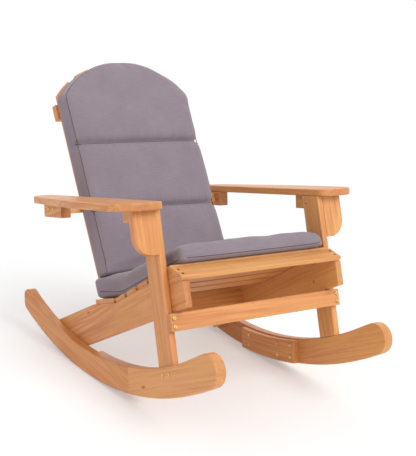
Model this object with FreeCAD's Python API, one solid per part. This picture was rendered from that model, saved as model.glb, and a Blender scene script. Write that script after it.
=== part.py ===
import FreeCAD, Part
import math
import os

# Rocking adirondack chair with a lift-off cushion.
# Everything is drawn with level arms, then rolled back a little, to where it rests.
# x runs across the chair, y from front to back, z up. The left side is at negative x.

V = FreeCAD.Vector
rad = math.radians

# Stock sizes
board = 19.0
board_width = 62.0
slat_thickness = 12.0
eased = 2.0
clearance = 0.2
soft_clearance = 0.4

# Across the chair, measured from the middle
leg_inner_x = 261.0
rocker_thickness = 29.0
slat_end_gap = 0.5
front_slat_reach = 264.0

# Rockers: a round underside, a flatter round top, a straight run and a round nose.
rocker_radius = 934.0
rocker_top_radius = 833.0
rocker_top_centre_y = 33.0
rocker_waist = 68.0
rocker_straight_y = -278.0
nose_y = -388.0
tail_y = 532.0
tail_top_round = 18.0
tail_low_round = 25.0
rocker_outer_round = 5.0
rocker_inner_round = 3.0
butt_y = -17.0
splice_front_y = -54.0
splice_rear_y = 178.0
splice_top_inset = 4.0
splice_low_inset = 2.0

# Front legs
leg_lean = 9.0
leg_front_y = -142.0
arm_under_z = 478.0
leg_round = 3.0
tenon_thickness = 12.0
tenon_inset = 5.0
tenon_depth = 42.0

# Arms
arm_inner_x = 262.0
arm_width = 132.0
arm_front_y = -172.0
arm_rear_y = 392.0
arm_straight_y = -50.0
arm_taper = 10.2
arm_taper_radius = 960.0
arm_front_inner_round = 29.0
arm_front_outer_round = 68.0
arm_rear_inner_round = 22.0
arm_rear_outer_round = 46.0
arm_round = 3.5

# Pieces under the arms
bracket_width = 64.0
bracket_height = 112.0
bracket_round = 47.0
front_cleat_height = 37.5
front_cleat_rear_y = -33.0
rear_cleat_thickness = 30.0
rear_cleat_height = 41.5
rear_cleat_front_y = 291.0
rear_cleat_rear_y = 385.0
arm_rail_height = 28.0
arm_rail_depth = 60.0
arm_rail_drop = 4.0

# Side rails: the seat follows three slopes on their top edge
rail_front_low = (-238.8, 245.5)
rail_front_slope = 22.5
rail_seat_slope = 23.1
rail_flat_slope = 8.4
rail_rear_slope = 18.5
rail_peak_y = -175.3
rail_peak_z = 329.0
rail_bend_y = 74.4
rail_flat_end_y = 188.8
rail_front_rise = 56.0
rail_low_y = -197.0
rail_low_z = 231.0
rail_rear_y = 420.0
rail_end_inset = 6.0

# Seat slats
slat_width = 46.0
slat_pitch = 57.6
seat_slat_count = 5
wide_slat_width = 90.0
front_slat_width = 48.0
slat_first_gap = 1.0

# Apron
apron_thickness = 16.0
apron_height = 44.0
apron_gap = 0.8

# Back
recline = 21.3
back_foot_y = 229.0
back_foot_z = 271.4
back_slat_count = 6
back_slat_width = 50.0
back_slat_thickness = 11.0
back_width = 426.0
back_arch_centre = 360.4
back_arch_radius = 280.0
back_slat_bottom = -142.0
low_rail_top = -80.0
batten_middle = 496.0
batten_width = 45.0
batten_reach = 220.0

# Cushion
cushion_back_half = 220.5
cushion_back_depth = 46.0
cushion_arch_radius = 277.5
cushion_seams = (180.0, 378.0)
cushion_seam_depth = 11.0
cushion_back_start = -4.0
cushion_seat_half = 239.0
cushion_seat_depth = 50.0
cushion_front_y = -200.0
cushion_heel_y = 200.0
cushion_crown = 5.0
cushion_edge = ((0.0, 12.0), (2.5, 8.0), (7.0, 4.5), (14.0, 2.0), (26.0, 0.0))

# Fasteners: shank radius, head radius, head height, sink of the head below the face
bright_bolt = (3.0, 5.6, 3.2, -3.2)
brass_screw = (2.5, 4.6, 2.2, -2.2)
sunk_screw = (2.0, 3.8, 1.8, 1.2)
tip_cover = 5.0
screw_margin = 17.0
leg_screw_drop = 21.0
apron_bolt_grip = 38.0
apron_bolt_drops = (12.0, 33.0)
recess_width = 1.0
recess_depth = 1.3
hole_gap = 0.1

# Densities in kg/m3, for where the empty chair balances on its round rockers
wood_density = 600.0
cushion_density = 300.0
brass_density = 8500.0
steel_density = 7850.0

leg_outer_x = leg_inner_x + board
rocker_outer_x = leg_inner_x + rocker_thickness
rail_inner_x = leg_inner_x - board
rocker_top_centre_z = rocker_radius - math.sqrt(rocker_radius ** 2 - rocker_top_centre_y ** 2)
rocker_top_centre_z = rocker_top_centre_z + rocker_waist + rocker_top_radius


def prism(points, x0, x1):
    """A board whose outline is drawn in the y-z plane and which runs from x0 to x1."""
    corners = [V(x0, y, z) for y, z in points]
    wire = Part.makePolygon(corners + [corners[0]])
    return Part.Face(wire).extrude(V(x1 - x0, 0, 0))


def along(start, angle, distance):
    """The point at a distance from start, at an angle from +y towards +z."""
    return (start[0] + distance * math.cos(rad(angle)), start[1] + distance * math.sin(rad(angle)))


def strip(corner, angle, width, thickness, x0, x1):
    """A board whose under edge starts at a corner and runs at an angle; it is thick upwards."""
    far = along(corner, angle, width)
    top = angle + 90.0
    return prism([corner, far, along(far, top, thickness), along(corner, top, thickness)], x0, x1)


def edges_where(shape, test):
    """The edges of a shape whose two ends both pass a test."""
    found = []
    for edge in shape.Edges:
        if len(edge.Vertexes) == 2 and test(edge):
            found.append(edge)
    return found


def runs_along(direction):
    """A test for straight edges parallel to a direction."""
    unit = V(direction).normalize()

    def test(edge):
        if edge.Curve.TypeId != "Part::GeomLine":
            return False
        step = edge.Vertexes[1].Point.sub(edge.Vertexes[0].Point)
        return step.cross(unit).Length < 1e-4 * step.Length

    return test


def ease_all(shape, radius):
    """Rounds every edge of a plain board."""
    return shape.makeFillet(radius, shape.Edges)


def ease_along(shape, radius, direction):
    """Rounds the straight edges parallel to a direction."""
    return shape.makeFillet(radius, edges_where(shape, runs_along(direction)))


def mirrored(shape):
    return shape.mirror(V(0, 0, 0), V(1, 0, 0))


def round_bar(y, z, radius, x0, x1):
    """A cylinder across the chair."""
    return Part.makeCylinder(radius, x1 - x0, V(x0, y, z), V(1, 0, 0))


def fastener_blank(kind, length):
    """A screw that points down, its head at the top; the face it enters is at z = 0."""
    shank, head, height, sink = kind
    neck = -sink - height
    body = Part.makeCylinder(shank, length + neck, V(0, 0, -length), V(0, 0, 1))
    cap = Part.makeCylinder(head, height, V(0, 0, neck), V(0, 0, 1))
    rim = [e for e in cap.Edges if e.Curve.TypeId == "Part::GeomCircle" and e.Vertexes[0].Z > neck + 0.5 * height]
    cap = cap.makeFillet(0.4 * height, rim)
    top = -sink
    for turn in (0, 90):
        slot = Part.makeBox(1.2 * head, recess_width, recess_depth)
        slot.translate(V(-0.6 * head, -0.5 * recess_width, top - recess_depth))
        slot.rotate(V(0, 0, 0), V(0, 0, 1), turn)
        cap = cap.cut(slot)
    return body.fuse(cap)


def hole_blank(kind, length):
    """The room for the same screw, a little larger all round."""
    shank, head, height, sink = kind
    bore = Part.makeCylinder(shank + hole_gap, length + hole_gap + 20.0, V(0, 0, -length - hole_gap), V(0, 0, 1))
    if sink > 0:
        deep = sink + height + hole_gap
        bore = bore.fuse(Part.makeCylinder(head + hole_gap, deep + 20.0, V(0, 0, -deep), V(0, 0, 1)))
    return bore


def place(blank, point, direction):
    """A copy of a blank that enters a face at a point, in a direction."""
    copy = blank.copy()
    copy.Placement = FreeCAD.Placement(point, FreeCAD.Rotation(V(0, 0, -1), direction))
    return copy


class Fasteners:
    """A group of alike screws: their solids, and the holes that they need."""

    def __init__(self, kind, length):
        self.screw = fastener_blank(kind, length)
        self.hole = hole_blank(kind, length)
        self.length = length
        self.solids = []
        self.holes = []

    def add(self, point, direction):
        unit = V(direction).normalize()
        self.solids.append(place(self.screw, point, unit))
        self.holes.append(place(self.hole, point, unit))

    def pair(self, point, direction):
        """One on each side of the chair."""
        self.add(point, direction)
        self.add(V(-point.x, point.y, point.z), V(-direction.x, direction.y, direction.z))


def bore(shape, groups):
    """Cuts the holes of the groups that reach a shape."""
    box = shape.BoundBox
    tools = []
    for group in groups:
        tools.extend(h for h in group.holes if h.BoundBox.intersect(box))
    if not tools:
        return shape
    return shape.cut(tools)


def rocker_low_z(y, inset=0.0):
    """Height of the rocker's underside, or of a line inside it."""
    return rocker_radius - math.sqrt((rocker_radius - inset) ** 2 - y ** 2)


def rocker_top_z(y, inset=0.0):
    """Height of the rocker's top edge, or of a line inside it."""
    reach = (rocker_top_radius + inset) ** 2 - (y - rocker_top_centre_y) ** 2
    return rocker_top_centre_z - math.sqrt(reach)


def leg_line_y(z):
    """Front face of a leg at a height."""
    return leg_front_y - (arm_under_z - z) * math.tan(rad(leg_lean))


def nose_circle(point, normal):
    """Centre and radius of the nose: it touches the straight top run and the underside."""
    small = 1.0
    large = rocker_radius / 4
    for _ in range(60):
        radius = 0.5 * (small + large)
        centre = V(0, nose_y + radius, rocker_low_z(nose_y + radius, radius))
        if normal.dot(point - centre) > radius:
            small = radius
        else:
            large = radius
    return centre, radius


def rocker_outline():
    """The runner's whole outline as one wire in the plane x = 0, its tail corners sharp."""
    centre = V(0, 0, rocker_radius)
    top_centre = V(0, rocker_top_centre_y, rocker_top_centre_z)
    arc_front = V(0, rocker_straight_y, rocker_top_z(rocker_straight_y))
    normal = (top_centre - arc_front).normalize()
    nose, nose_radius = nose_circle(arc_front, normal)
    out = (nose - centre).normalize()
    nose_low = centre + out * rocker_radius
    nose_top = nose + normal * nose_radius
    nose_tip = nose - (nose_top + nose_low - nose * 2).normalize() * nose_radius
    if (nose_tip - nose).y > 0:
        nose_tip = nose * 2 - nose_tip
    low_end = V(0, tail_y, rocker_low_z(tail_y))
    top_end = V(0, tail_y, rocker_top_z(tail_y))
    low_middle = 0.5 * (nose_low.y + tail_y)
    top_middle = 0.5 * (arc_front.y + tail_y)
    edges = [
        Part.Arc(nose_low, V(0, low_middle, rocker_low_z(low_middle)), low_end).toShape(),
        Part.makeLine(low_end, top_end),
        Part.Arc(top_end, V(0, top_middle, rocker_top_z(top_middle)), arc_front).toShape(),
        Part.makeLine(arc_front, nose_top),
        Part.Arc(nose_top, nose_tip, nose_low).toShape(),
    ]
    return Part.Wire(edges)


def rocker_blank():
    """The runner with sharp long edges; its tail is rounded."""
    blank = Part.Face(rocker_outline()).extrude(V(rocker_thickness, 0, 0))
    blank.translate(V(leg_inner_x, 0, 0))
    across = runs_along(V(1, 0, 0))
    low = rocker_low_z(tail_y)
    high = rocker_top_z(tail_y)

    def at_tail(height):
        def test(edge):
            point = edge.Vertexes[0].Point
            return across(edge) and abs(point.y - tail_y) < 0.01 and abs(point.z - height) < 0.01
        return test

    top_slope = math.asin((tail_y - rocker_top_centre_y) / rocker_top_radius)
    low_slope = math.asin(tail_y / rocker_radius)
    wanted = tail_top_round / math.tan(0.5 * (math.pi / 2 - top_slope))
    wanted += tail_low_round / math.tan(0.5 * (math.pi / 2 + low_slope))
    share = min(1.0, 0.9 * (high - low) / wanted)
    blank = blank.makeFillet(share * tail_top_round, edges_where(blank, at_tail(high)))
    return blank.makeFillet(share * tail_low_round, edges_where(blank, at_tail(low)))


def soften_rocker(blank):
    """Rounds the runner's long edges, more on the outside."""

    def on_face(x):
        def test(edge):
            return all(abs(v.X - x) < 0.01 for v in edge.Vertexes)
        return test

    blank = blank.makeFillet(rocker_outer_round, edges_where(blank, on_face(rocker_outer_x)))
    return blank.makeFillet(rocker_inner_round, edges_where(blank, on_face(leg_inner_x)))


def leg_tenon(gap):
    """The stub under a leg, or with a gap the mortise that takes it."""
    low_z = rocker_top_z(leg_line_y(rocker_top_z(-180.0))) - tenon_depth - gap
    high_z = low_z + tenon_depth + 60.0
    wide = board_width / math.cos(rad(leg_lean))
    inset = tenon_inset - gap
    middle_x = 0.5 * (leg_inner_x + leg_outer_x)
    half = 0.5 * tenon_thickness + gap
    points = [
        (leg_line_y(low_z) + inset, low_z),
        (leg_line_y(low_z) + wide - inset, low_z),
        (leg_line_y(high_z) + wide - inset, high_z),
        (leg_line_y(high_z) + inset, high_z),
    ]
    return prism(points, middle_x - half, middle_x + half)


def front_leg(blank):
    low_z = 40.0
    wide = board_width / math.cos(rad(leg_lean))
    points = [
        (leg_line_y(low_z), low_z),
        (leg_line_y(low_z) + wide, low_z),
        (leg_line_y(arm_under_z) + wide, arm_under_z),
        (leg_line_y(arm_under_z), arm_under_z),
    ]
    leg = prism(points, leg_inner_x, leg_outer_x)
    leg = ease_along(leg, leg_round, V(0, math.sin(rad(leg_lean)), math.cos(rad(leg_lean))))
    leg = leg.cut(blank)
    leg = max(leg.Solids, key=lambda s: s.Volume)
    stub = leg_tenon(0.0)
    return leg.fuse(stub.common(blank).fuse(stub.common(leg))).removeSplitter()


def arm_board():
    """Seen from above: a broad front, a straight inner edge and a narrower rear."""
    outer_x = arm_inner_x + arm_width
    drop = arm_taper_radius * (1 - math.cos(rad(arm_taper)))
    arc_end_y = arm_straight_y + arm_taper_radius * math.sin(rad(arm_taper))
    half = arm_taper / 2
    z = arm_under_z
    arc_mid = V(outer_x - arm_taper_radius * (1 - math.cos(rad(half))),
                arm_straight_y + arm_taper_radius * math.sin(rad(half)), z)
    arc_end = V(outer_x - drop, arc_end_y, z)
    rear_x = outer_x - drop - (arm_rear_y - arc_end_y) * math.tan(rad(arm_taper))
    corners = [V(arm_inner_x, arm_front_y, z), V(outer_x, arm_front_y, z), V(outer_x, arm_straight_y, z)]
    rear = [V(rear_x, arm_rear_y, z), V(arm_inner_x, arm_rear_y, z)]
    edges = [
        Part.makeLine(corners[0], corners[1]),
        Part.makeLine(corners[1], corners[2]),
        Part.Arc(corners[2], arc_mid, arc_end).toShape(),
        Part.makeLine(arc_end, rear[0]),
        Part.makeLine(rear[0], rear[1]),
        Part.makeLine(rear[1], corners[0]),
    ]
    arm = Part.Face(Part.Wire(edges)).extrude(V(0, 0, board))
    upright = runs_along(V(0, 0, 1))
    rounds = (
        (corners[0], arm_front_inner_round),
        (corners[1], arm_front_outer_round),
        (rear[0], arm_rear_outer_round),
        (rear[1], arm_rear_inner_round),
    )
    for corner, radius in rounds:
        def at_corner(edge, corner=corner):
            point = edge.Vertexes[0].Point
            return upright(edge) and math.hypot(point.x - corner.x, point.y - corner.y) < 0.01
        arm = arm.makeFillet(radius, edges_where(arm, at_corner))

    def flat_rim(edge):
        low = [v.Z for v in edge.Vertexes]
        return abs(low[0] - low[1]) < 0.01

    return arm.makeFillet(arm_round, edges_where(arm, flat_rim))


def arm_bracket():
    """The ear beside the top of a leg, flush with the leg's front."""
    x0 = leg_outer_x
    x1 = leg_outer_x + bracket_width
    low = -bracket_height
    r = bracket_round
    bend = V(x1 - r + r * math.sin(rad(45)), 0, low + r - r * math.cos(rad(45)))
    edges = [
        Part.makeLine(V(x0, 0, low), V(x1 - r, 0, low)),
        Part.Arc(V(x1 - r, 0, low), bend, V(x1, 0, low + r)).toShape(),
        Part.makeLine(V(x1, 0, low + r), V(x1, 0, 20)),
        Part.makeLine(V(x1, 0, 20), V(x0, 0, 20)),
        Part.makeLine(V(x0, 0, 20), V(x0, 0, low)),
    ]
    ear = Part.Face(Part.Wire(edges)).extrude(V(0, board, 0))

    def outer_rim(edge):
        side = [v.Point for v in edge.Vertexes]
        level = abs(side[0].y - side[1].y) < 0.01
        return level and max(p.x for p in side) > x0 + 0.01 and max(p.z for p in side) < 20.01 and not (
            min(p.z for p in side) > 19.99)

    ear = ear.makeFillet(eased, edges_where(ear, outer_rim))
    ear.rotate(V(0, 0, 0), V(1, 0, 0), -leg_lean)
    ear.translate(V(0, leg_front_y, arm_under_z))
    corner = V(x0 - arm_width, leg_front_y - arm_width, arm_under_z)
    above = Part.makeBox(2 * arm_width, 2 * arm_width, arm_width, corner)
    return ear.cut(above)


def rail_seat_z(y):
    """Height of the side rail's top edge."""
    slope = math.tan(rad(rail_seat_slope))
    if y < rail_peak_y:
        return rail_peak_z - (rail_peak_y - y) * math.tan(rad(rail_front_slope))
    if y < rail_bend_y:
        return rail_peak_z - (y - rail_peak_y) * slope
    bend_z = rail_peak_z - (rail_bend_y - rail_peak_y) * slope
    if y < rail_flat_end_y:
        return bend_z - (y - rail_bend_y) * math.tan(rad(rail_flat_slope))
    flat_end_z = bend_z - (rail_flat_end_y - rail_bend_y) * math.tan(rad(rail_flat_slope))
    return flat_end_z - (y - rail_flat_end_y) * math.tan(rad(rail_rear_slope))


def rail_low_line(y):
    return rail_low_z - (y - rail_low_y) * math.tan(rad(rail_rear_slope))


def side_rail():
    """The seat stringer: front lip, scooped seat, and a tail that ends inside the rocker."""
    front_top_y = rail_peak_y - (rail_front_rise / math.cos(rad(rail_front_slope))) * 0.88
    points = [
        (rail_front_low[0], rail_low_line(rail_front_low[0])),
        (front_top_y, rail_seat_z(front_top_y)),
        (rail_peak_y, rail_seat_z(rail_peak_y)),
        (rail_bend_y, rail_seat_z(rail_bend_y)),
        (rail_flat_end_y, rail_seat_z(rail_flat_end_y)),
        (rail_rear_y, rail_seat_z(rail_rear_y)),
        (rail_rear_y, rail_low_line(rail_rear_y)),
    ]
    rail = prism(points, rail_inner_x, leg_inner_x)
    inside = round_bar(0, rocker_radius, rocker_radius - rail_end_inset, rail_inner_x - 1, leg_inner_x + 1)
    rail = rail.common(inside)

    def on_side(edge):
        xs = [v.X for v in edge.Vertexes]
        return abs(xs[0] - xs[1]) < 0.01

    return rail.makeFillet(eased, edges_where(rail, on_side))


def back_point(s, depth):
    """A point on the back: s up along it from its foot, depth behind its front face."""
    lean = rad(recline)
    y = back_foot_y + s * math.sin(lean) + depth * math.cos(lean)
    z = back_foot_z + s * math.cos(lean) - depth * math.sin(lean)
    return y, z


def lay_back(shape):
    """Turns a piece drawn upright (x, -depth forward, s up) onto the reclined back."""
    shape.rotate(V(0, 0, 0), V(1, 0, 0), -recline)
    shape.translate(V(0, back_foot_y, back_foot_z))
    return shape


def back_slat(middle):
    """One upright slat; its top follows the arch across the whole back."""
    x0 = middle - back_slat_width / 2
    x1 = middle + back_slat_width / 2

    def arch(x):
        return back_arch_centre + math.sqrt(back_arch_radius ** 2 - x ** 2)

    corners = [V(x0, 0, back_slat_bottom), V(x1, 0, back_slat_bottom), V(x1, 0, arch(x1)), V(x0, 0, arch(x0))]
    edges = [
        Part.makeLine(corners[0], corners[1]),
        Part.makeLine(corners[1], corners[2]),
        Part.Arc(corners[2], V(middle, 0, arch(middle)), corners[3]).toShape(),
        Part.makeLine(corners[3], corners[0]),
    ]
    slat = Part.Face(Part.Wire(edges)).extrude(V(0, back_slat_thickness, 0))
    return lay_back(slat.makeFillet(eased, slat.Edges))


def offset_loop(points, inset):
    """Moves every side of a closed outline inwards by the same distance."""
    count = len(points)
    area = 0.0
    for i in range(count):
        a = points[i]
        b = points[(i + 1) % count]
        area += a[0] * b[1] - b[0] * a[1]
    sign = 1.0 if area > 0 else -1.0
    moved = []
    for i in range(count):
        a, b, c = points[i - 1], points[i], points[(i + 1) % count]
        first = V(b[0] - a[0], b[1] - a[1], 0).normalize()
        second = V(c[0] - b[0], c[1] - b[1], 0).normalize()
        n1 = V(-first.y, first.x, 0) * sign
        n2 = V(-second.y, second.x, 0) * sign
        both = n1 + n2
        scale = inset / (1 + n1.dot(n2))
        moved.append((b[0] + both.x * scale, b[1] + both.y * scale))
    return moved


def rounded_loop(points, radii, x):
    """A closed wire of lines and arcs in the plane at x."""
    count = len(points)
    starts = []
    ends = []
    tips = []
    for i in range(count):
        a, b, c = points[i - 1], points[i], points[(i + 1) % count]
        back = V(a[0] - b[0], a[1] - b[1], 0).normalize()
        ahead = V(c[0] - b[0], c[1] - b[1], 0).normalize()
        half = 0.5 * back.getAngle(ahead)
        r = radii[i]
        reach = r / math.tan(half)
        corner = V(b[0], b[1], 0)
        toward = (back + ahead).normalize()
        starts.append(corner + back * reach)
        ends.append(corner + ahead * reach)
        tips.append(corner + toward * (r / math.sin(half) - r))
    edges = []
    for i in range(count):
        s, t, e = starts[i], tips[i], ends[i]
        edges.append(Part.Arc(V(x, s.x, s.y), V(x, t.x, t.y), V(x, e.x, e.y)).toShape())
        n = starts[(i + 1) % count]
        edges.append(Part.makeLine(V(x, e.x, e.y), V(x, n.x, n.y)))
    return Part.Wire(edges)


def slat_top_z(y):
    """Height of the seat slats' top faces."""
    slope = rail_seat_slope if y < rail_bend_y + 8 else rail_flat_slope
    return rail_seat_z(y) + slat_thickness / math.cos(rad(slope))


def seat_loop(crown):
    """Outline of the seat cushion from the side, without its drawn-in ends."""
    front_y = cushion_front_y + 7
    front_z = slat_top_z(rail_peak_y) + (rail_peak_y - front_y) * math.tan(rad(rail_seat_slope))
    low = [
        (front_y, front_z + 2 * soft_clearance),
        (rail_bend_y + 8, slat_top_z(rail_bend_y) + 1.5),
    ]
    rear_s = (slat_top_z(cushion_heel_y) + 1.5 - back_foot_z) / math.cos(rad(recline))
    foot = back_point(rear_s, -soft_clearance)
    rear_top = back_point(cushion_back_start - soft_clearance, -soft_clearance)
    high_bend = (rail_bend_y + 30, slat_top_z(rail_bend_y) + cushion_seat_depth + crown)
    front_top = (cushion_front_y + 3, slat_top_z(rail_peak_y) + cushion_seat_depth + 0.6 * crown)
    return low + [foot, rear_top, high_bend, front_top]


def stations(half, steps):
    """Places across a cushion with how far its outline is drawn in there."""
    right = [(half - d, inset) for d, inset in cushion_edge]
    inner = right[-1][0]
    right += [(inner * (steps - i) / steps, 0.0) for i in range(1, steps)]
    left = [(-x, inset) for x, inset in right]
    return left + [(0.0, 0.0)] + right[::-1]


def crown_at(x, half):
    return cushion_crown * (1 - (x / half) ** 2)


def cushion_seat():
    """The thick seat section: crowned, with sides drawn in to a flat boxing."""
    wires = []
    for x, inset in stations(cushion_seat_half, 4):
        loop = offset_loop(seat_loop(crown_at(x, cushion_seat_half)), inset)
        radii = [max(3.0, r - inset) for r in (12, 60, 10, 10, 90, 15)]
        wires.append(rounded_loop(loop, radii, x))
    return Part.makeLoft(wires, True, True)


def back_loop(x, inset):
    """Side outline of the back cushion at x: flat behind, three padded sections in front."""
    top = back_arch_centre + math.sqrt(cushion_arch_radius ** 2 - min(abs(x), cushion_back_half) ** 2)
    depth = cushion_back_depth
    notch = cushion_seam_depth
    loop = [(0.0, cushion_back_start), (0.0, top)]
    marks = [top, cushion_seams[1], cushion_seams[0], cushion_back_start]
    rise = 1.5 * notch
    for upper, lower in zip(marks, marks[1:]):
        loop.append((-depth, upper - (0.5 * rise if upper == top else rise)))
        loop.append((-depth, lower + rise))
        if lower != cushion_back_start:
            loop.append((-depth + notch, lower))
    loop.append((-depth + 1.2 * notch, cushion_back_start))
    loop = [(u - soft_clearance, s) for u, s in loop]
    return offset_loop(loop, inset)


def cushion_back():
    """The back section: an arched top, two sewn channels and drawn-in sides."""
    wires = []
    for x, inset in stations(cushion_back_half, 6):
        plump = crown_at(x, cushion_back_half)
        loop = back_loop(x, inset)
        loop = [(u - (plump if u < -cushion_back_depth / 2 else 0.0), s) for u, s in loop]
        wires.append(rounded_loop(loop, (6, 9, 9, 20, 4, 20, 20, 4, 20, 8, 4), x))
    return lay_back(Part.makeLoft(wires, True, True))


parts = {}


def keep(name, shape):
    parts[name] = shape


def keep_pair(name, shape):
    keep("right_" + name, shape)
    keep("left_" + name, mirrored(shape))


# Fastener groups
leg_rocker_screws = Fasteners(brass_screw, rocker_thickness - tip_cover)
for share in (0.16, 0.56):
    y = leg_line_y(rocker_waist) + share * board_width
    leg_rocker_screws.pair(V(rocker_outer_x, y, rocker_top_z(y) - leg_screw_drop), V(-1, 0, 0))

splice_screws = Fasteners(brass_screw, board + rocker_thickness - tip_cover)
for y in (splice_front_y + screw_margin, butt_y + 2 * screw_margin, splice_rear_y - 2 * screw_margin):
    for z in (rocker_low_z(y) + splice_low_inset + screw_margin, rocker_top_z(y) - screw_margin):
        splice_screws.pair(V(rail_inner_x, y, z), V(1, 0, 0))

apron_top_z = rail_low_z
for _ in range(20):
    apron_top_z = rail_low_line(leg_line_y(apron_top_z)) - apron_gap
lean_out = V(0, math.cos(rad(leg_lean)), -math.sin(rad(leg_lean)))
apron_bolts = Fasteners(bright_bolt, apron_thickness + apron_bolt_grip)
for drop in apron_bolt_drops:
    z = apron_top_z - drop * math.cos(rad(leg_lean)) + apron_thickness * math.sin(rad(leg_lean))
    y = leg_line_y(z) - apron_thickness / math.cos(rad(leg_lean))
    apron_bolts.pair(V(leg_inner_x + board / 2, y, z), lean_out)

leg_rail_screws = Fasteners(brass_screw, 2 * board - tip_cover)
leg_at_rail = leg_line_y(rail_low_z) + 0.6 * board_width
for share in (0.3, 0.75):
    z = (1 - share) * rail_low_line(leg_at_rail) + share * rail_seat_z(leg_at_rail)
    leg_rail_screws.pair(V(rail_inner_x, leg_at_rail, z), V(1, 0, 0))

rail_rocker_screws = Fasteners(brass_screw, board + rocker_thickness - 2 * tip_cover)
for y in (rail_rear_y - 7 * screw_margin, rail_rear_y - 4 * screw_margin, rail_rear_y - 1.5 * screw_margin):
    low = max(rocker_low_z(y, rail_end_inset), rail_low_line(y))
    high = min(rocker_top_z(y), rail_seat_z(y))
    rail_rocker_screws.pair(V(rail_inner_x, y, 0.5 * (low + high)), V(1, 0, 0))

leg_cleat_screws = Fasteners(brass_screw, 2 * board - tip_cover)
leg_cleat_screws.pair(V(leg_inner_x, leg_front_y + 0.74 * board_width, arm_under_z - screw_margin), V(1, 0, 0))

cleat_front_y = leg_front_y + board / math.cos(rad(leg_lean))
front_arm_screws = Fasteners(sunk_screw, front_cleat_height + board - tip_cover)
for y in (cleat_front_y + screw_margin, front_cleat_rear_y - screw_margin):
    front_arm_screws.pair(V(leg_outer_x + board / 2, y, arm_under_z - front_cleat_height), V(0, 0, 1))
rear_arm_screws = Fasteners(sunk_screw, rear_cleat_height + board - tip_cover)
for y in (rear_cleat_front_y + screw_margin, rear_cleat_rear_y - screw_margin):
    x = arm_inner_x + rear_cleat_thickness / 2
    rear_arm_screws.pair(V(x, y, arm_under_z - rear_cleat_height), V(0, 0, 1))

arm_rail_z = arm_under_z - arm_rail_drop - arm_rail_height
arm_rail_s = (arm_rail_z + arm_rail_height / 2 - back_foot_z) / math.cos(rad(recline))
arm_rail_front_y = back_point(arm_rail_s, back_slat_thickness)[0]
cross_rail_screws = Fasteners(brass_screw, 2 * rear_cleat_thickness)
for share in (0.35, 0.8):
    y = arm_rail_front_y + share * arm_rail_depth
    head = V(leg_inner_x + rear_cleat_thickness, y, arm_rail_z + arm_rail_height / 2)
    cross_rail_screws.pair(head, V(-1, 0, 0))

# Rockers, splice plates and legs
blank = rocker_blank()
soft = soften_rocker(blank)
soft = soft.cut(leg_tenon(clearance))
far = 2 * rocker_radius
front_half = Part.makeBox(far, far, far, V(0, butt_y - far, -far / 2))
rocker_screws = [leg_rocker_screws, splice_screws, rail_rocker_screws]
keep_pair("rocker_front", bore(soft.common(front_half), rocker_screws))
keep_pair("rocker_rear", bore(soft.cut(front_half), rocker_screws))

plate = Part.makeBox(board, splice_rear_y - splice_front_y, far, V(rail_inner_x, splice_front_y, -far / 2))
plate = plate.common(round_bar(0, rocker_radius, rocker_radius - splice_low_inset, 0, rocker_outer_x))
plate = plate.cut(round_bar(rocker_top_centre_y, rocker_top_centre_z, rocker_top_radius + splice_top_inset,
                            0, rocker_outer_x))
inner_edges = edges_where(plate, lambda e: all(abs(v.X - rail_inner_x) < 0.01 for v in e.Vertexes))
plate = plate.makeFillet(eased, inner_edges)
keep_pair("rocker_splice_plate", bore(plate, [splice_screws]))

leg = front_leg(blank)
keep_pair("front_leg", bore(leg, [leg_rocker_screws, apron_bolts, leg_rail_screws, leg_cleat_screws]))

# Arms and the pieces under them
keep_pair("arm", bore(arm_board(), [front_arm_screws, rear_arm_screws]))
keep_pair("arm_bracket", arm_bracket())
cleat = Part.makeBox(board, front_cleat_rear_y - cleat_front_y, front_cleat_height,
                     V(leg_outer_x, cleat_front_y, arm_under_z - front_cleat_height))
cleat = ease_along(cleat, eased, V(0, 1, 0))
keep_pair("arm_front_cleat", bore(cleat, [leg_cleat_screws, front_arm_screws]))
cleat = Part.makeBox(rear_cleat_thickness, rear_cleat_rear_y - rear_cleat_front_y, rear_cleat_height,
                     V(leg_inner_x, rear_cleat_front_y, arm_under_z - rear_cleat_height))
cleat = ease_along(cleat, eased, V(0, 1, 0))
keep_pair("arm_rear_cleat", bore(cleat, [rear_arm_screws, cross_rail_screws]))

# Seat slats, laid on the side rails
seat_slat_screws = Fasteners(sunk_screw, slat_thickness + board)
slats = {}


def lay_slat(name, start, angle, width, reach, screws_at):
    slats[name] = ease_all(strip(start, angle, width, slat_thickness, -reach, reach), eased)
    down = V(0, math.sin(rad(angle)), -math.cos(rad(angle)))
    for share in screws_at:
        y, z = along(along(start, angle, share * width), angle + 90, slat_thickness)
        seat_slat_screws.pair(V(leg_inner_x - board / 2, y, z), down)


between_legs = leg_inner_x - slat_end_gap
front_foot = (rail_peak_y - front_slat_width - slat_first_gap, 0)
front_foot = (front_foot[0], rail_seat_z(front_foot[0]))
lay_slat("seat_slat_front", front_foot, rail_front_slope, front_slat_width, front_slat_reach, (0.3, 0.72))
for index in range(seat_slat_count):
    back_by = slat_pitch * (seat_slat_count - 1 - index) + slat_width
    start = along((rail_bend_y, rail_seat_z(rail_bend_y)), 180 - rail_seat_slope, back_by)
    lay_slat("seat_slat_%d" % (index + 2), start, -rail_seat_slope, slat_width, between_legs, (0.25, 0.75))
wide_start = (rail_bend_y + 13.0, rail_seat_z(rail_bend_y + 13.0))
lay_slat("seat_slat_rear", wide_start, -rail_flat_slope, wide_slat_width, between_legs, (0.2, 0.8))
for name, shape in slats.items():
    keep(name, bore(shape, [seat_slat_screws]))

rail_groups = [leg_rail_screws, rail_rocker_screws, seat_slat_screws]
keep_pair("side_rail", bore(side_rail(), rail_groups))

# Apron across the legs' fronts
apron_low = along((leg_line_y(apron_top_z), apron_top_z), -90 - leg_lean, apron_height)
apron = strip(apron_low, 90 - leg_lean, apron_height, apron_thickness, -leg_outer_x, leg_outer_x)
keep("front_apron", bore(ease_all(apron, eased), [apron_bolts]))

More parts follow.
